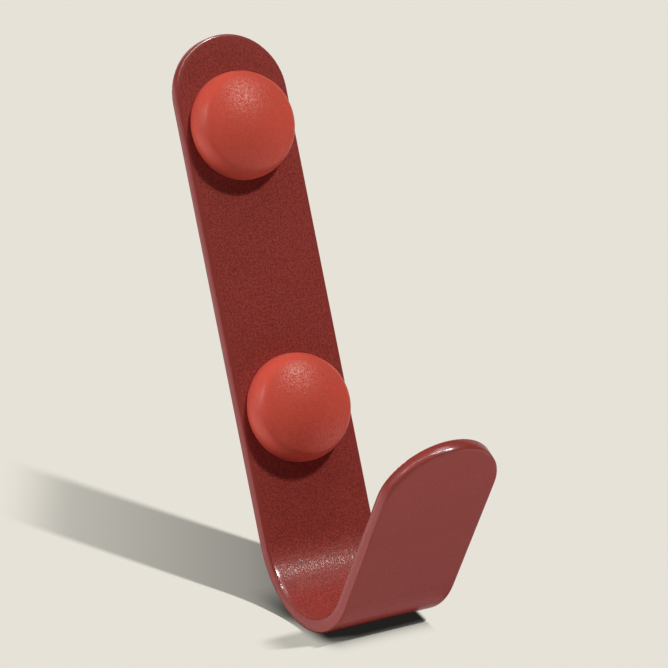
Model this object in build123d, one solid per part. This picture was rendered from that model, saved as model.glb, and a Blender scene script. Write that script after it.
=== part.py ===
from build123d import *
from math import cos, sin, radians, atan2, pi
import os

# Key hook: one flat steel bar, rounded at both ends and bent into a J,
# with two domed caps that sit on its face and cover the screw holes.
# Frame: the wall is the plane Y = 0 and the hook stands out of it towards -Y.
# +Z is up along the bar, +X to the right seen from the front.
# The origin is midway between the two screw holes, on the back face.

# ---- bar ------------------------------------------------------------------
BAR_W = 25.0          # width of the flat bar
BAR_T = 3.0           # thickness of the flat bar
EDGE_R = 0.4          # eased long edges and ends
HOLE_Z = 29.2         # each hole's distance from the origin
TOP_ABOVE_HOLE = 19.1 # from the upper hole to the tip of the bar
BEND_BELOW_HOLE = 25.6  # from the lower hole to the level of the bend's axis
BEND_R_IN = 16.0      # inside radius of the bend
BEND_ANGLE = 129.0    # turn of the bend, from straight down
LIP_LEN = 42.6        # straight run of the lip, to its rounded tip

# ---- screw holes ----------------------------------------------------------
HOLE_D = 4.5          # for a 4 mm countersunk screw
CSK_D = 8.7           # mouth of the 90 degree countersink, on the front

# ---- caps -----------------------------------------------------------------
CAP_R = 11.15         # widest radius
CAP_H = 8.0           # height above the bar's face
CAP_BELLY = 1.05      # height where the flank starts to lean in
CAP_FLANK_R = 8.0     # radius of the bowed flank
CAP_LEAN = 27.0       # lean of the flank where it meets the shoulder, degrees
CAP_SHOULDER = 2.6    # radius of the shoulder
CAP_FOOT = 0.35       # rounding of the foot
# ---- magnets, flush in the caps' undersides --------------------------------
MAGNET_D = 15.9
MAGNET_H = 3.0
POCKET_D = 16.0       # pocket in the cap
MAGNET_EDGE = 0.3

# ---- derived --------------------------------------------------------------
z_tip = HOLE_Z + TOP_ABOVE_HOLE
z_axis = -HOLE_Z - BEND_BELOW_HOLE
r_out = BEND_R_IN + BAR_T
y_axis = -(BAR_T + BEND_R_IN)
b = radians(BEND_ANGLE)
lip_dir = (-sin(b), -cos(b))           # (y, z) along the lip, away from the bend
lip_nrm = (-cos(b), sin(b))            # (y, z) across the lip, towards the wall side


def on_bend(radius, a):
    return (y_axis + radius * cos(a), z_axis - radius * sin(a))


def along_lip(p, s):
    return (p[0] + lip_dir[0] * s, p[1] + lip_dir[1] * s)


# ---- bar: J-shaped section in the YZ plane, pulled across the width --------
back_top = (0.0, z_tip)
back_low = (0.0, z_axis)
front_top = (-BAR_T, z_tip)
front_low = (-BAR_T, z_axis)
out_end = on_bend(r_out, b)
in_end = on_bend(BEND_R_IN, b)
out_tip = along_lip(out_end, LIP_LEN)
in_tip = along_lip(in_end, LIP_LEN)

with BuildPart() as bar:
    with BuildSketch(Plane.YZ):
        with BuildLine():
            Line(back_top, back_low)
            ThreePointArc(back_low, on_bend(r_out, b / 2), out_end)
            Line(out_end, out_tip)
            Line(out_tip, in_tip)
            Line(in_tip, in_end)
            ThreePointArc(in_end, on_bend(BEND_R_IN, b / 2), front_low)
            Line(front_low, front_top)
            Line(front_top, back_top)
        make_face()
    extrude(amount=BAR_W / 2, both=True)

    # full-round ends: what lies outside a half circle is cut away
    R = BAR_W / 2

    upper_plane = Plane(origin=(0, 5, z_tip - R), x_dir=(1, 0, 0), z_dir=(0, -1, 0))
    with BuildSketch(upper_plane):
        Rectangle(BAR_W + 4, R + 2, align=(Align.CENTER, Align.MIN))
        Circle(R, mode=Mode.SUBTRACT)
    extrude(amount=BAR_T + 10, mode=Mode.SUBTRACT)

    mid = along_lip((0.5 * (out_end[0] + in_end[0]), 0.5 * (out_end[1] + in_end[1])), LIP_LEN - R)
    # local Y runs along the lip towards its tip
    lip_plane = Plane(
        origin=(0, mid[0], mid[1]),
        x_dir=(1, 0, 0),
        z_dir=(0, -lip_dir[1], lip_dir[0]),
    )
    with BuildSketch(lip_plane):
        sgn = 1 if lip_plane.y_dir.Y * lip_dir[0] + lip_plane.y_dir.Z * lip_dir[1] > 0 else -1
        with Locations((0, sgn * (R + 2) / 2)):
            Rectangle(BAR_W + 4, R + 2)
        Circle(R, mode=Mode.SUBTRACT)
    extrude(amount=BAR_T, both=True, mode=Mode.SUBTRACT)

# eased edges along the two faces, all round the outline
long_edges = []
for edge in bar.part.edges():
    # the outlines of the two faces: all edges but those across the bar and through its thickness
    p0, p1 = edge.position_at(0), edge.position_at(1)
    across = abs(abs(p0.X - p1.X) - BAR_W) < 1e-3 and abs(p0.Y - p1.Y) < 1e-3 and abs(p0.Z - p1.Z) < 1e-3
    is_line_across = across and edge.geom_type == GeomType.LINE
    is_thickness = edge.geom_type == GeomType.LINE and abs(edge.length - BAR_T) < 1e-3
    if not is_line_across and not is_thickness:
        long_edges.append(edge)
strip = fillet(long_edges, EDGE_R)

# countersunk holes behind the caps
csk_depth = (CSK_D - HOLE_D) / 2
for z in (HOLE_Z, -HOLE_Z):
    face_plane = Plane(origin=(0, -BAR_T, z), x_dir=(1, 0, 0), z_dir=(0, 1, 0))
    hole = extrude(face_plane * Circle(HOLE_D / 2), amount=BAR_T)
    cone = face_plane * Pos(0, 0, csk_depth / 2) * Cone(CSK_D / 2, HOLE_D / 2, csk_depth)
    strip = strip - hole - cone

# ---- caps: turned profile about the hole's axis ------------------------------
# a bowed flank, a tighter shoulder and a spherical dome, each meeting the next without a corner
lean = radians(CAP_LEAN)
a_ = CAP_R - CAP_FLANK_R + (CAP_FLANK_R - CAP_SHOULDER) * cos(lean)   # centre of the shoulder's arc
h_ = CAP_BELLY + (CAP_FLANK_R - CAP_SHOULDER) * sin(lean)
d_ = h_ - CAP_H
DOME_R = (CAP_SHOULDER**2 - a_**2 - d_**2) / (2 * (d_ + CAP_SHOULDER))
th = atan2(h_ - (CAP_H - DOME_R), a_)


def flank(q):
    return (CAP_R - CAP_FLANK_R + CAP_FLANK_R * cos(q), CAP_BELLY + CAP_FLANK_R * sin(q))


def shoulder(q):
    return (a_ + CAP_SHOULDER * cos(q), h_ + CAP_SHOULDER * sin(q))


def dome(q):
    return (DOME_R * cos(q), CAP_H - DOME_R + DOME_R * sin(q))


def cap_at(z):
    pr = POCKET_D / 2
    f = CAP_FOOT
    with BuildPart() as cap:
        with BuildSketch(Plane.XY):
            with BuildLine():
                Line((0, MAGNET_H), (0, CAP_H))
                ThreePointArc((0, CAP_H), dome((th + pi / 2) / 2), dome(th))
                ThreePointArc(dome(th), shoulder((th + lean) / 2), shoulder(lean))
                ThreePointArc(shoulder(lean), flank(lean / 2), (CAP_R, CAP_BELLY))
                Line((CAP_R, CAP_BELLY), (CAP_R, f))
                ThreePointArc(
                    (CAP_R, f),
                    (CAP_R - f + f * cos(pi / 4), f - f * sin(pi / 4)),
                    (CAP_R - f, 0),
                )
                Line((CAP_R - f, 0), (pr, 0))
                Line((pr, 0), (pr, MAGNET_H))
                Line((pr, MAGNET_H), (0, MAGNET_H))
            make_face()
        revolve(axis=Axis.Y, revolution_arc=360)
    # the profile's axis turns from +Y to -Y, off the bar's front face
    return Pos(0, -BAR_T, z) * Rot(0, 0, 180) * cap.part


def magnet_at(z):
    with BuildPart() as disc:
        Cylinder(MAGNET_D / 2, MAGNET_H, align=(Align.CENTER, Align.CENTER, Align.MIN))
        fillet(disc.edges().filter_by(GeomType.CIRCLE), MAGNET_EDGE)
    return Pos(0, -BAR_T, z) * Rot(90, 0, 0) * disc.part


parts = {
    "hook_strip": strip,
    "upper_cap": cap_at(HOLE_Z),
    "lower_cap": cap_at(-HOLE_Z),
    "upper_cap_magnet": magnet_at(HOLE_Z),
    "lower_cap_magnet": magnet_at(-HOLE_Z),
}

os.makedirs("parts", exist_ok=True)
for name, shape in parts.items():
    solids = shape.solids()
    body = solids[0] if len(solids) == 1 else shape
    body.label = name
    export_step(body, f"parts/{name}.step")
    bb = body.bounding_box()
    print(
        name,
        f"{body.volume:.1f} mm3",
        f"x {bb.min.X:.2f}..{bb.max.X:.2f}",
        f"y {bb.min.Y:.2f}..{bb.max.Y:.2f}",
        f"z {bb.min.Z:.2f}..{bb.max.Z:.2f}",
    )
print("dome radius", round(DOME_R, 2), "mm")
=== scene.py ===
import math

import bmesh
import bpy
from mathutils import Matrix, Vector


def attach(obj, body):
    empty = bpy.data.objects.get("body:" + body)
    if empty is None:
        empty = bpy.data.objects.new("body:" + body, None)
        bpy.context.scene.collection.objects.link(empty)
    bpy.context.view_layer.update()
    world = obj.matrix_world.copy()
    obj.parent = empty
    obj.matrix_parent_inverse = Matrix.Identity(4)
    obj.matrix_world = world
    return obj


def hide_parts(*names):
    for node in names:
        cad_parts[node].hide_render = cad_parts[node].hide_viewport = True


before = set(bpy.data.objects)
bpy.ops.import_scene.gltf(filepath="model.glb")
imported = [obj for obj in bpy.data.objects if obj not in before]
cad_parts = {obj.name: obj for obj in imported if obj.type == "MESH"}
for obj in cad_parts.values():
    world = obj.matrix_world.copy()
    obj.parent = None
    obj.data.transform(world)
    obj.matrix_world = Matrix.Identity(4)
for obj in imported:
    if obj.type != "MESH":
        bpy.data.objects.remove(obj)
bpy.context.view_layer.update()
scene = bpy.context.scene
MM = 0.001

# ---------------------------------------------------------------- camera
# Looks at the hook from its left, level with the bar, and rolled so that the bar leans left.
AZ, EL, ROLL = math.radians(-28.28624), math.radians(-0.71380), math.radians(-11.25097)
DIST, FOCAL_PX, FRAME_PX = 700.1324, 3475.9995, 668.0
AIM = Vector((0.0, -10.0, -54.8))
SHIFT_X, SHIFT_Y = 0.392924, -39.360412
back = Vector((math.sin(AZ) * math.cos(EL), -math.cos(AZ) * math.cos(EL), math.sin(EL)))
right = Vector((math.cos(AZ), math.sin(AZ), 0.0))
up = right.cross(-back)
cam_x = right * math.cos(ROLL) + up * math.sin(ROLL)
cam_y = up * math.cos(ROLL) - right * math.sin(ROLL)
where = (AIM - cam_x * SHIFT_X - cam_y * SHIFT_Y + back * DIST) * MM
cam_data = bpy.data.cameras.new("camera")
cam = bpy.data.objects.new("camera", cam_data)
scene.collection.objects.link(cam)
cam.matrix_world = Matrix(
    (
        (cam_x.x, cam_y.x, back.x, where.x),
        (cam_x.y, cam_y.y, back.y, where.y),
        (cam_x.z, cam_y.z, back.z, where.z),
        (0, 0, 0, 1),
    )
)
cam_data.sensor_fit = "HORIZONTAL"
cam_data.sensor_width = 36.0
cam_data.lens = 36.0 * FOCAL_PX / FRAME_PX
cam_data.clip_start, cam_data.clip_end = 0.01, 20.0
scene.camera = cam


# ---------------------------------------------------------------- material helpers
def new_material(name):
    m = bpy.data.materials.new(name)
    m.use_nodes = True
    t = m.node_tree
    t.nodes.clear()
    out = t.nodes.new("ShaderNodeOutputMaterial")
    bsdf = t.nodes.new("ShaderNodeBsdfPrincipled")
    t.links.new(bsdf.outputs[0], out.inputs["Surface"])
    return m, t, bsdf


def node(t, kind, **values):
    n = t.nodes.new(kind)
    for k, v in values.items():
        if k in n.inputs:
            n.inputs[k].default_value = v
        else:
            setattr(n, k, v)
    return n


def ramp(t, source, stops):
    r = t.nodes.new("ShaderNodeValToRGB")
    t.links.new(source, r.inputs["Fac"])
    els = r.color_ramp.elements
    while len(els) < len(stops):
        els.new(0.5)
    for e, (pos, col) in zip(els, stops):
        e.position = pos
        e.color = (*col, 1.0) if len(col) == 3 else col
    return r


def noise(t, coord, size_mm, detail=2.0, rough=0.5, dist=0.0):
    n = t.nodes.new("ShaderNodeTexNoise")
    n.inputs["Scale"].default_value = 1000.0 / size_mm
    n.inputs["Detail"].default_value = detail
    n.inputs["Roughness"].default_value = rough
    n.inputs["Distortion"].default_value = dist
    t.links.new(coord, n.inputs["Vector"])
    return n


def math_node(t, op, a, b=None, c=None):
    n = t.nodes.new("ShaderNodeMath")
    n.operation = op
    for i, x in enumerate((a, b, c)):
        if x is None:
            continue
        if isinstance(x, (int, float)):
            n.inputs[i].default_value = x
        else:
            t.links.new(x, n.inputs[i])
    return n.outputs[0]


def map_range(t, value, lo, hi, to_lo=0.0, to_hi=1.0, smooth=True):
    n = t.nodes.new("ShaderNodeMapRange")
    n.interpolation_type = "SMOOTHSTEP" if smooth else "LINEAR"
    t.links.new(value, n.inputs["Value"])
    for k, x in (("From Min", lo), ("From Max", hi), ("To Min", to_lo), ("To Max", to_hi)):
        n.inputs[k].default_value = x
    return n.outputs["Result"]


def mix_color(t, fac, a, b, blend="MIX"):
    n = t.nodes.new("ShaderNodeMix")
    n.data_type = "RGBA"
    n.blend_type = blend
    for sock, x in ((n.inputs[0], fac), (n.inputs[6], a), (n.inputs[7], b)):
        if hasattr(x, "is_linked"):
            t.links.new(x, sock)
        elif isinstance(x, (int, float)):
            sock.default_value = x
        else:
            sock.default_value = (*x, 1.0)
    return n.outputs[2]


def grey(v):
    return (v, v, v)


def coords(t):
    return t.nodes.new("ShaderNodeTexCoord").outputs["Object"]


# ---------------------------------------------------------------- powder coat on the bar
# How far a point of the bar lies from the middle line of the bar, in metres; both ends are half circles.
def from_middle(t, c):
    sep = t.nodes.new("ShaderNodeSeparateXYZ")
    t.links.new(c, sep.inputs[0])
    x, y, z = sep.outputs
    over_top = math_node(t, "MAXIMUM", math_node(t, "SUBTRACT", z, 0.0358), 0.0)
    lip = math_node(t, "ADD", math_node(t, "MULTIPLY", y, -0.7771), math_node(t, "MULTIPLY", z, 0.6293))
    over_lip = math_node(t, "MAXIMUM", math_node(t, "SUBTRACT", lip, 0.01035), 0.0)
    over_lip = math_node(t, "MULTIPLY", over_lip, math_node(t, "LESS_THAN", y, -0.025))
    past = math_node(t, "ADD", over_top, over_lip)
    square = math_node(t, "ADD", math_node(t, "MULTIPLY", x, x), math_node(t, "MULTIPLY", past, past))
    return math_node(t, "SQRT", square)


# How far a point of the bar lies from the middle of its thickness, in metres: straight bar, bend and lip.
def through_thickness(t, c):
    sep = t.nodes.new("ShaderNodeSeparateXYZ")
    t.links.new(c, sep.inputs[0])
    y = math_node(t, "ADD", sep.outputs[1], 0.019)
    z = math_node(t, "ADD", sep.outputs[2], 0.0548)
    bent = math_node(t, "SQRT", math_node(t, "ADD", math_node(t, "MULTIPLY", y, y), math_node(t, "MULTIPLY", z, z)))
    lip = math_node(t, "ADD", math_node(t, "MULTIPLY", y, -0.6293), math_node(t, "MULTIPLY", z, -0.7771))
    up_lip = math_node(t, "ADD", math_node(t, "MULTIPLY", y, -0.7771), math_node(t, "MULTIPLY", z, 0.6293))
    front = math_node(t, "LESS_THAN", y, 0.0)
    on_lip = math_node(t, "MULTIPLY", front, math_node(t, "GREATER_THAN", up_lip, 0.0))
    on_bar = math_node(t, "MULTIPLY", math_node(t, "SUBTRACT", 1.0, front), math_node(t, "GREATER_THAN", z, 0.0))
    far = math_node(t, "ADD", bent, math_node(t, "MULTIPLY", on_lip, math_node(t, "SUBTRACT", lip, bent)))
    far = math_node(t, "ADD", far, math_node(t, "MULTIPLY", on_bar, math_node(t, "SUBTRACT", y, bent)))
    return math_node(t, "SUBTRACT", far, 0.0175)


def powder_coat():
    m, t, bsdf = new_material("powder_coat_red")
    place = t.nodes.new("ShaderNodeTexCoord")
    c = place.outputs["Object"]
    fine = noise(t, c, 0.42, 2.0, 0.6)
    glint = noise(t, c, 0.36, 1.0, 0.5)
    pits = noise(t, c, 0.85, 1.0, 0.5)
    peel = noise(t, c, 1.9, 1.0, 0.4)
    cloud = noise(t, c, 22.0, 3.0, 0.5)
    # the paint runs smooth over the edges, and lies smoother on faces that look down
    out = from_middle(t, c)
    edge = map_range(t, out, 0.01150, 0.01190)
    flat = math_node(t, "SUBTRACT", 1.0, math_node(t, "MULTIPLY", edge, 0.9))
    round_over = math_node(t, "MULTIPLY", edge, map_range(t, out, 0.01244, 0.01249, 1.0, 0.0))
    facing = t.nodes.new("ShaderNodeSeparateXYZ")
    t.links.new(place.outputs["Normal"], facing.inputs[0])
    grain = map_range(t, facing.outputs[2], -0.60, -0.05, 0.30, 1.0)
    grain = math_node(t, "MULTIPLY", grain, flat)
    gloss = math_node(t, "MULTIPLY", round_over, map_range(t, facing.outputs[2], -0.15, 0.15))
    # the rim of the lip's tip is rubbed smooth
    at = t.nodes.new("ShaderNodeSeparateXYZ")
    t.links.new(c, at.inputs[0])
    tip = math_node(t, "MULTIPLY", map_range(t, at.outputs[1], -0.046, -0.043, 1.0, 0.0), map_range(t, out, 0.01235, 0.01245))
    tip = math_node(t, "MULTIPLY", tip, map_range(t, facing.outputs[2], -0.10, 0.15))
    worn = math_node(t, "MULTIPLY", map_range(t, at.outputs[0], -0.0054, -0.0030), map_range(t, at.outputs[0], 0.0010, 0.0032, 1.0, 0.0))
    tip = math_node(t, "MULTIPLY", tip, worn)
    gloss = math_node(t, "MAXIMUM", gloss, tip)
    speck = ramp(t, fine.outputs["Fac"], [(0.28, (0.180, 0.0249, 0.0196)), (0.72, (0.435, 0.0609, 0.0484))])
    tint = ramp(t, cloud.outputs["Fac"], [(0.30, grey(0.97)), (0.70, grey(1.03))])
    col = mix_color(t, grain, (0.3074, 0.0429, 0.0340), speck.outputs["Color"])
    col = mix_color(t, 1.0, col, tint.outputs["Color"], "MULTIPLY")
    t.links.new(col, bsdf.inputs["Base Color"])
    rough = ramp(t, pits.outputs["Fac"], [(0.30, grey(0.37)), (0.70, grey(0.47))])
    t.links.new(rough.outputs["Color"], bsdf.inputs["Roughness"])
    shine = ramp(t, glint.outputs["Fac"], [(0.36, grey(0.08)), (0.66, grey(0.34))])
    shine = mix_color(t, grain, grey(0.10), shine.outputs["Color"])
    shine = mix_color(t, gloss, shine, grey(1.0))
    t.links.new(shine, bsdf.inputs["Coat Weight"])
    bsdf.inputs["Specular IOR Level"].default_value = 0.14
    bsdf.inputs["Coat Roughness"].default_value = 0.19
    b1 = node(t, "ShaderNodeBump", Distance=0.00010)
    t.links.new(math_node(t, "MULTIPLY", grain, 0.50), b1.inputs["Strength"])
    t.links.new(fine.outputs["Fac"], b1.inputs["Height"])
    b2 = node(t, "ShaderNodeBump", Distance=0.0001)
    t.links.new(math_node(t, "MULTIPLY", grain, 0.20), b2.inputs["Strength"])
    t.links.new(peel.outputs["Fac"], b2.inputs["Height"])
    t.links.new(b1.outputs["Normal"], b2.inputs["Normal"])
    # the paint rolls off at the edges, and the sides of the bar are a little crowned
    roll = map_range(t, out, 0.0115, 0.0123, smooth=False)
    roll = math_node(t, "MULTIPLY", math_node(t, "MULTIPLY", roll, roll), 0.4)
    crown = math_node(t, "MULTIPLY", through_thickness(t, c), 1000.0)
    full = map_range(t, at.outputs[1], -0.048, -0.044, 1.6, 1.0)
    roll = math_node(t, "ADD", roll, math_node(t, "MULTIPLY", math_node(t, "MULTIPLY", crown, crown), full))
    b3 = node(t, "ShaderNodeBump", Distance=0.00012)
    b3.invert = True
    t.links.new(roll, b3.inputs["Height"])
    b3.inputs["Strength"].default_value = 1.0
    t.links.new(b2.outputs["Normal"], b3.inputs["Normal"])
    t.links.new(b3.outputs["Normal"], bsdf.inputs["Normal"])
    t.links.new(b3.outputs["Normal"], bsdf.inputs["Coat Normal"])
    return m


# ---------------------------------------------------------------- matte coral caps
def cap_coral():
    m, t, bsdf = new_material("cap_coral")
    c = coords(t)
    fine = noise(t, c, 0.60, 2.0, 0.6)
    crease = noise(t, c, 0.42, 1.5, 0.5, 0.3)
    cloud = noise(t, c, 9.0, 3.0, 0.5)
    # fine creases on the dome that die out over the shoulder
    sep = t.nodes.new("ShaderNodeSeparateXYZ")
    t.links.new(c, sep.inputs[0])
    x, z = sep.outputs[0], math_node(t, "SUBTRACT", math_node(t, "ABSOLUTE", sep.outputs[2]), 0.0292)
    out = math_node(t, "SQRT", math_node(t, "ADD", math_node(t, "MULTIPLY", x, x), math_node(t, "MULTIPLY", z, z)))
    dome = map_range(t, out, 0.0082, 0.0098, 1.0, 0.20)
    speck = ramp(t, fine.outputs["Fac"], [(0.28, (0.632, 0.0853, 0.0558)), (0.72, (0.700, 0.0945, 0.0618))])
    tint = ramp(t, cloud.outputs["Fac"], [(0.30, grey(0.975)), (0.70, grey(1.025))])
    col = mix_color(t, 1.0, speck.outputs["Color"], tint.outputs["Color"], "MULTIPLY")
    t.links.new(col, bsdf.inputs["Base Color"])
    rough = ramp(t, fine.outputs["Fac"], [(0.30, grey(0.33)), (0.70, grey(0.41))])
    t.links.new(rough.outputs["Color"], bsdf.inputs["Roughness"])
    shine = ramp(t, crease.outputs["Fac"], [(0.37, grey(0.0)), (0.63, grey(0.92))])
    shine = mix_color(t, dome, grey(0.30), shine.outputs["Color"])
    t.links.new(shine, bsdf.inputs["Coat Weight"])
    bsdf.inputs["Coat Roughness"].default_value = 0.40
    bsdf.inputs["Specular IOR Level"].default_value = 0.02
    b1 = node(t, "ShaderNodeBump", Distance=0.00011)
    t.links.new(math_node(t, "MULTIPLY", dome, 0.75), b1.inputs["Strength"])
    t.links.new(crease.outputs["Fac"], b1.inputs["Height"])
    t.links.new(b1.outputs["Normal"], bsdf.inputs["Normal"])
    t.links.new(b1.outputs["Normal"], bsdf.inputs["Coat Normal"])
    return m


# ---------------------------------------------------------------- nickel plated magnets
def nickel():
    m, t, bsdf = new_material("magnet_nickel")
    c = coords(t)
    fine = noise(t, c, 0.25, 3.0, 0.6)
    col = ramp(t, fine.outputs["Fac"], [(0.3, (0.55, 0.54, 0.52)), (0.7, (0.66, 0.65, 0.63))])
    t.links.new(col.outputs["Color"], bsdf.inputs["Base Color"])
    rough = ramp(t, fine.outputs["Fac"], [(0.3, grey(0.22)), (0.7, grey(0.34))])
    t.links.new(rough.outputs["Color"], bsdf.inputs["Roughness"])
    bsdf.inputs["Metallic"].default_value = 1.0
    return m


def put(name, material):
    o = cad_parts[name]
    o.data.materials.clear()
    o.data.materials.append(material)


coat, coral, plated = powder_coat(), cap_coral(), nickel()
put("hook_strip", coat)
for n in ("upper_cap", "lower_cap"):
    put(n, coral)
for n in ("upper_cap_magnet", "lower_cap_magnet"):
    put(n, plated)

# ---------------------------------------------------------------- caps
# Turned shapes, in millimetres: the pocket for the magnet, the foot, a bowed flank, the shoulder and the dome.
CAP_R, CAP_H, CAP_BELLY, FLANK_R, LEAN, SHOULDER, FOOT = 11.15, 8.0, 1.05, 8.0, math.radians(27.0), 2.6, 0.35
POCKET_R, POCKET_H, FACE_Y, HOLE_Z = 8.0, 3.0, -3.0, 29.2


def cap_profile():
    a = CAP_R - FLANK_R + (FLANK_R - SHOULDER) * math.cos(LEAN)
    h = CAP_BELLY + (FLANK_R - SHOULDER) * math.sin(LEAN)
    d = h - CAP_H
    dome = (SHOULDER**2 - a**2 - d**2) / (2 * (d + SHOULDER))
    th = math.atan2(h - (CAP_H - dome), a)
    pts = [(r, POCKET_H) for r in (2.0, 4.5, 6.5, 7.6, 7.95)]
    pts += [(POCKET_R, z) for z in (POCKET_H, 2.9, 1.5, 0.1, 0.0)]
    pts += [(r, 0.0) for r in (8.05, 9.4, 10.7)]
    for i in range(7):
        q = -math.pi / 2 + (math.pi / 2) * i / 6
        pts.append((CAP_R - FOOT + FOOT * math.cos(q), FOOT + FOOT * math.sin(q)))
    pts.append((CAP_R, 0.7))
    for i in range(13):
        q = LEAN * i / 12
        pts.append((CAP_R - FLANK_R + FLANK_R * math.cos(q), CAP_BELLY + FLANK_R * math.sin(q)))
    for i in range(1, 15):
        q = LEAN + (th - LEAN) * i / 14
        pts.append((a + SHOULDER * math.cos(q), h + SHOULDER * math.sin(q)))
    for i in range(1, 30):
        q = th + (math.pi / 2 - th) * i / 30
        pts.append((dome * math.cos(q), CAP_H - dome + dome * math.sin(q)))
    return pts


def make_cap(name, z):
    sides = 160
    prof = cap_profile()
    bm = bmesh.new()
    inner = bm.verts.new((0.0, (FACE_Y - POCKET_H) * MM, z * MM))
    rings = []
    for r, h in prof:
        ring = []
        for k in range(sides):
            q = 2 * math.pi * k / sides
            ring.append(bm.verts.new((r * math.cos(q) * MM, (FACE_Y - h) * MM, (z + r * math.sin(q)) * MM)))
        rings.append(ring)
    apex = bm.verts.new((0.0, (FACE_Y - CAP_H) * MM, z * MM))
    for k in range(sides):
        j = (k + 1) % sides
        bm.faces.new((inner, rings[0][k], rings[0][j]))
        for a, b in zip(rings, rings[1:]):
            bm.faces.new((a[k], b[k], b[j], a[j]))
        bm.faces.new((rings[-1][k], apex, rings[-1][j]))
    bmesh.ops.recalc_face_normals(bm, faces=bm.faces)
    for f in bm.faces:
        f.smooth = True
    me = bpy.data.meshes.new(name)
    bm.to_mesh(me)
    bm.free()
    me.set_sharp_from_angle(angle=math.radians(40.0))
    o = bpy.data.objects.new(name, me)
    scene.collection.objects.link(o)
    me.materials.append(coral)
    return o


for node_name, z in (("upper_cap", HOLE_Z), ("lower_cap", -HOLE_Z)):
    cap = make_cap(node_name + "_turned", z)
    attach(cap, "root")
    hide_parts(node_name)

# ---------------------------------------------------------------- floor
# The hook stands on its bend and leans back, so in its own frame the floor is tipped about X.
TIP = math.radians(22.0)
nrm = Vector((0.0, -math.sin(TIP), math.cos(TIP)))
touch = Vector((0.0, -19.0, -54.8)) - nrm * 19.0
along = Vector((0.0, math.cos(TIP), math.sin(TIP)))
HALF = 1500.0
floor_mesh = bpy.data.meshes.new("floor")
floor_mesh.from_pydata(
    [(sx * HALF * MM, sy * HALF * MM, 0.0) for sx, sy in ((-1, -1), (1, -1), (1, 1), (-1, 1))], [], [(0, 1, 2, 3)]
)
floor = bpy.data.objects.new("floor", floor_mesh)
# the floor's own X runs across the hook, its own Y runs back from the line where the bend touches it
spot = (touch - nrm * 0.02) * MM
floor.matrix_world = Matrix(
    (
        (1.0, along.x, nrm.x, spot.x),
        (0.0, along.y, nrm.y, spot.y),
        (0.0, along.z, nrm.z, spot.z),
        (0, 0, 0, 1),
    )
)
scene.collection.objects.link(floor)
# Pale paper with painted shade: a glow set by position lifts the long shadow more as it runs back, and the gap under
# the bend is painted dark.
PAPER = (0.791, 0.760, 0.680)
FLOOR_DIM = 0.02
fm, ft, fb = new_material("floor_paper_painted_shade")
fsep = ft.nodes.new("ShaderNodeSeparateXYZ")
ft.links.new(coords(ft), fsep.inputs[0])
fx, fy = fsep.outputs[0], fsep.outputs[1]
run = math_node(ft, "ADD", math_node(ft, "MULTIPLY", fx, -0.8805), math_node(ft, "MULTIPLY", fy, 0.4739))
# painted light: a glow share that lifts the long shadow, darkest by the bend and fading out as it runs back
painted_shadow_lift = map_range(ft, run, 0.0, 0.080, 0.24, 0.75, smooth=False)
painted_shadow_lift = math_node(ft, "SUBTRACT", painted_shadow_lift, map_range(ft, run, 0.0145, 0.0235, 0.05, 0.0))
painted_shadow_lift = mix_color(ft, map_range(ft, run, 0.0584, 0.0772), painted_shadow_lift, (1.0, 1.0, 1.0))
# painted light: a glow that lifts the lip's own short shadow, in front of the long one
painted_lip_shadow_lift = map_range(ft, fx, -0.0252, -0.0186, 1.0, 0.61)
slant = math_node(ft, "ADD", fy, math_node(ft, "MULTIPLY", fx, 0.3))
past = math_node(ft, "MULTIPLY", map_range(ft, slant, -0.0141, -0.0126, 1.0, 0.0), map_range(ft, fx, -0.0165, -0.0145, 1.0, 0.0))
painted_lip_shadow_lift = mix_color(ft, past, painted_lip_shadow_lift, (1.0, 1.0, 1.0))
painted_shadow_lift = mix_color(ft, map_range(ft, fy, 0.001, 0.008), painted_lip_shadow_lift, painted_shadow_lift)
# painted shade: the floor under and just in front of the bend is painted dark by cutting its glow
gap_shade_left = map_range(ft, fx, -0.0148, -0.0102, 0.0, 1.0)
right_end = math_node(ft, "SUBTRACT", fx, math_node(ft, "MULTIPLY", fy, 0.176))
gap_shade_right = map_range(ft, right_end, 0.0115, 0.0124, 1.0, 0.0)
# painted light: the shadow just beyond the bar's right end is lifted away
beyond = math_node(ft, "MULTIPLY", map_range(ft, right_end, 0.0119, 0.0128), map_range(ft, fy, 0.0, 0.004, 1.0, 0.0))
painted_shadow_lift = mix_color(ft, beyond, painted_shadow_lift, (1.0, 1.0, 1.0))
gap_shade_back = map_range(ft, fy, 0.004, 0.024, 1.0, 0.0)
painted_gap_shade = math_node(ft, "MULTIPLY", math_node(ft, "MULTIPLY", gap_shade_left, gap_shade_right), gap_shade_back)
corner = math_node(ft, "MINIMUM", math_node(ft, "ADD", fx, 0.005), 0.0)
gap_shade_brink = math_node(ft, "ADD", fy, math_node(ft, "MULTIPLY", corner, 0.35))
gap_shade_brink = math_node(ft, "MULTIPLY", map_range(ft, gap_shade_brink, -0.0105, -0.0080, 0.81, 0.968), map_range(ft, gap_shade_brink, -0.0122, -0.0104, 0.45, 1.0))
gap_shade_cut = math_node(ft, "SUBTRACT", 1.0, math_node(ft, "MULTIPLY", painted_gap_shade, gap_shade_brink))
painted_glow_share = math_node(ft, "MULTIPLY", painted_shadow_lift, gap_shade_cut)
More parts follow.
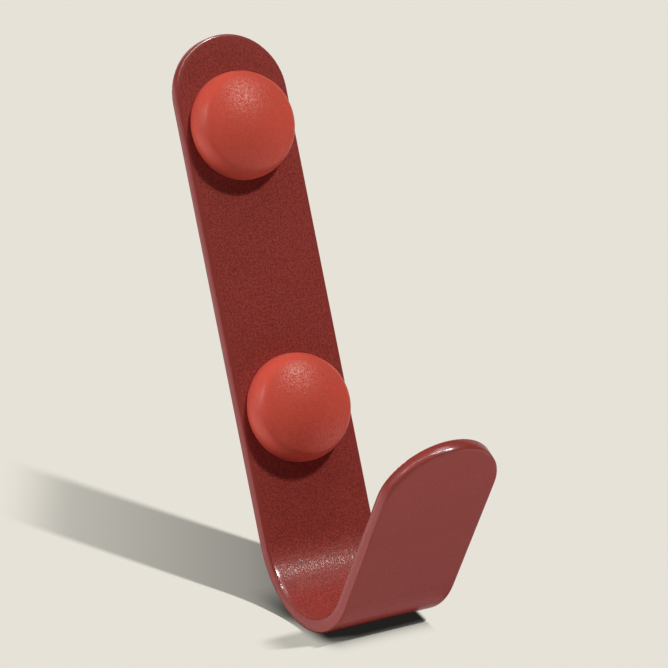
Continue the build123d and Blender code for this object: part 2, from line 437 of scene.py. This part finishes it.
# painted shade: a dark fringe in front of the shadow's border, darkening both the floor's base colour and its glow
painted_border_shade = map_range(ft, fy, -0.0165, -0.0100, smooth=False)
painted_border_shade = math_node(ft, "MULTIPLY", math_node(ft, "POWER", painted_border_shade, 2.35), 0.50)
painted_border_shade = math_node(ft, "MULTIPLY", painted_border_shade, math_node(ft, "MULTIPLY", gap_shade_left, gap_shade_right))
painted_border_shade = math_node(ft, "MULTIPLY", painted_border_shade, map_range(ft, fy, -0.0102, -0.0097, 1.0, 0.0))
lit = mix_color(ft, painted_glow_share, tuple(FLOOR_DIM * x for x in PAPER), (0.0, 0.0, 0.0))
lit = mix_color(ft, painted_border_shade, lit, (0.0, 0.0, 0.0))
# painted light: the floor glows by this share, so its shadows are lifted to a set tone
painted_glow = mix_color(ft, painted_glow_share, (0.0, 0.0, 0.0), PAPER)
painted_glow = mix_color(ft, painted_border_shade, painted_glow, (0.0, 0.0, 0.0))
ft.links.new(lit, fb.inputs["Base Color"])
ft.links.new(painted_glow, fb.inputs["Emission Color"])
fb.inputs["Emission Strength"].default_value = 1.0
fb.inputs["Roughness"].default_value = 0.95
fb.inputs["Specular IOR Level"].default_value = 0.0
floor.data.materials.append(fm)
floor.visible_diffuse = False
floor.visible_glossy = False
floor.visible_shadow = False
# painted shade: a dark sheet, unseen by the camera, stands in for the shade under the bend and blocks light from
# below
shade_card_mesh = bpy.data.meshes.new("shade_card")
shade_card_mesh.from_pydata(
    [(x * MM, y * MM, -0.5 * MM) for x, y in ((-13.0, -15.0), (10.5, -15.0), (10.5, 30.0), (-13.0, 30.0))], [], [(0, 1, 2, 3)]
)
shade_card = bpy.data.objects.new("shade_card", shade_card_mesh)
shade_card.matrix_world = floor.matrix_world
scene.collection.objects.link(shade_card)
gm, gt, gb = new_material("painted_shade_dark")
gb.inputs["Base Color"].default_value = (0.01, 0.01, 0.01, 1.0)
gb.inputs["Roughness"].default_value = 0.95
gb.inputs["Specular IOR Level"].default_value = 0.0
shade_card_mesh.materials.append(gm)
shade_card.visible_camera = False

# ---------------------------------------------------------------- light
hook_parts = [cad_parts["hook_strip"], bpy.data.objects["upper_cap_turned"], bpy.data.objects["lower_cap_turned"]]


def only_on(light, name, objects):
    group = bpy.data.collections.new(name)
    for o in objects:
        group.objects.link(o)
    light.light_linking.receiver_collection = group


key_at = Vector((290.0, -652.1, 523.9))
key_data = bpy.data.lights.new("key", "AREA")
key_data.shape = "DISK"
key_data.size = 0.100
key_data.energy = 4.25
key_data.color = (1.0, 0.986, 0.929)
key = bpy.data.objects.new("key", key_data)
key.location = key_at * MM
key.rotation_mode = "QUATERNION"
key.rotation_quaternion = (key_at - Vector((0, -5, 0))).to_track_quat("Z", "Y")
scene.collection.objects.link(key)
only_on(key, "key_lights", hook_parts)


def soft(name, toward, degrees, energy, objects):
    data = bpy.data.lights.new(name, "SUN")
    data.energy = energy
    data.angle = math.radians(degrees)
    o = bpy.data.objects.new(name, data)
    o.rotation_mode = "QUATERNION"
    o.rotation_quaternion = Vector(toward).normalized().to_track_quat("Z", "Y")
    scene.collection.objects.link(o)
    only_on(o, name + "_lights", objects)
    return o


# wide soft panels around the hook, each a direction, a width in degrees and a strength
PANELS = (
    ("left_top", (-0.82, -0.08, 0.57), 12.0, 1.251),
    ("left_back", (-0.88, 0.25, 0.40), 30.0, 0.610),
    ("left_back_low", (-0.80, 0.50, -0.30), 43.0, 0.620),
    ("overhead_right", (0.18, -0.38, 0.91), 25.0, 0.530),
    ("right_low", (0.77, -0.13, -0.63), 43.0, 0.502),
    ("under", (-0.04, -0.15, -0.99), 43.0, 0.495),
    ("front_low", (0.13, -0.48, -0.87), 43.0, 0.196),
    ("behind_left_low", (-0.47, 0.60, -0.65), 43.0, 0.201),
    ("behind_left", (-0.50, 0.86, -0.05), 43.0, 0.390),
    ("behind", (-0.17, 0.97, 0.17), 20.0, 0.075),
    ("behind_right", (0.62, 0.75, 0.10), 70.0, 0.860),
)
panels = [soft(n, d, w, e, hook_parts) for n, d, w, e in PANELS]


# light thrown up by the paper in front of the hook: distance ahead, width, depth in millimetres and strength
def card(name, ahead_mm, wide, deep, energy):
    data = bpy.data.lights.new(name, "AREA")
    data.shape = "RECTANGLE"
    data.size, data.size_y = wide * MM, deep * MM
    data.energy = energy
    o = bpy.data.objects.new(name, data)
    o.rotation_mode = "QUATERNION"
    o.rotation_quaternion = nrm.to_track_quat("-Z", "Y")
    o.location = (touch - along * ahead_mm + nrm * 0.5) * MM
    scene.collection.objects.link(o)
    only_on(o, name + "_lights", hook_parts)
    return o


# a long thin strip from beside the key to the upper left
strip_at = Vector((-212.0, -355.0, 502.0))
strip_data = bpy.data.lights.new("strip", "AREA")
strip_data.shape = "RECTANGLE"
strip_data.size, strip_data.size_y = 0.800, 0.010
strip_data.energy = 4.50
strip = bpy.data.objects.new("strip", strip_data)
strip.location = strip_at * MM
strip_z = strip_at.normalized()
strip_x = Vector((0.867, -0.498, 0.015))
strip_x = (strip_x - strip_z * strip_x.dot(strip_z)).normalized()
strip_y = strip_z.cross(strip_x)
strip.rotation_mode = "QUATERNION"
strip.rotation_quaternion = Matrix((strip_x, strip_y, strip_z)).transposed().to_quaternion()
scene.collection.objects.link(strip)
only_on(strip, "strip_lights", hook_parts[:1])
strip.visible_diffuse = False
panels.append(strip)

panels.append(card("paper_edge", 14.5, 30.0, 7.0, 0.00026))
panels.append(card("paper_near", 45.0, 200.0, 60.0, 0.0160))
panels.append(card("paper_far", 130.0, 300.0, 100.0, 0.1130))

FLOOR_KEY = (0.2893, -0.7979, 0.5288)
sun = soft("floor_key", FLOOR_KEY, 2.2, math.pi / (0.7892 * FLOOR_DIM), [floor])

world = bpy.data.worlds.new("studio")
scene.world = world
world.use_nodes = True
wt = world.node_tree
wt.nodes.clear()
wout = wt.nodes.new("ShaderNodeOutputWorld")
amb = wt.nodes.new("ShaderNodeBackground")
amb.inputs["Color"].default_value = (1.0, 1.0, 1.0, 1.0)
amb.inputs["Strength"].default_value = 0.01
seen = wt.nodes.new("ShaderNodeBackground")
seen.inputs["Color"].default_value = (0.791, 0.760, 0.680, 1.0)
path = wt.nodes.new("ShaderNodeLightPath")
wmix = wt.nodes.new("ShaderNodeMixShader")
wt.links.new(path.outputs["Is Camera Ray"], wmix.inputs[0])
wt.links.new(amb.outputs[0], wmix.inputs[1])
wt.links.new(seen.outputs[0], wmix.inputs[2])
wt.links.new(wmix.outputs[0], wout.inputs["Surface"])

scene.view_settings.view_transform = "Standard"
scene.view_settings.look = "None"
scene.view_settings.exposure = 0.0
scene.view_settings.gamma = 1.0
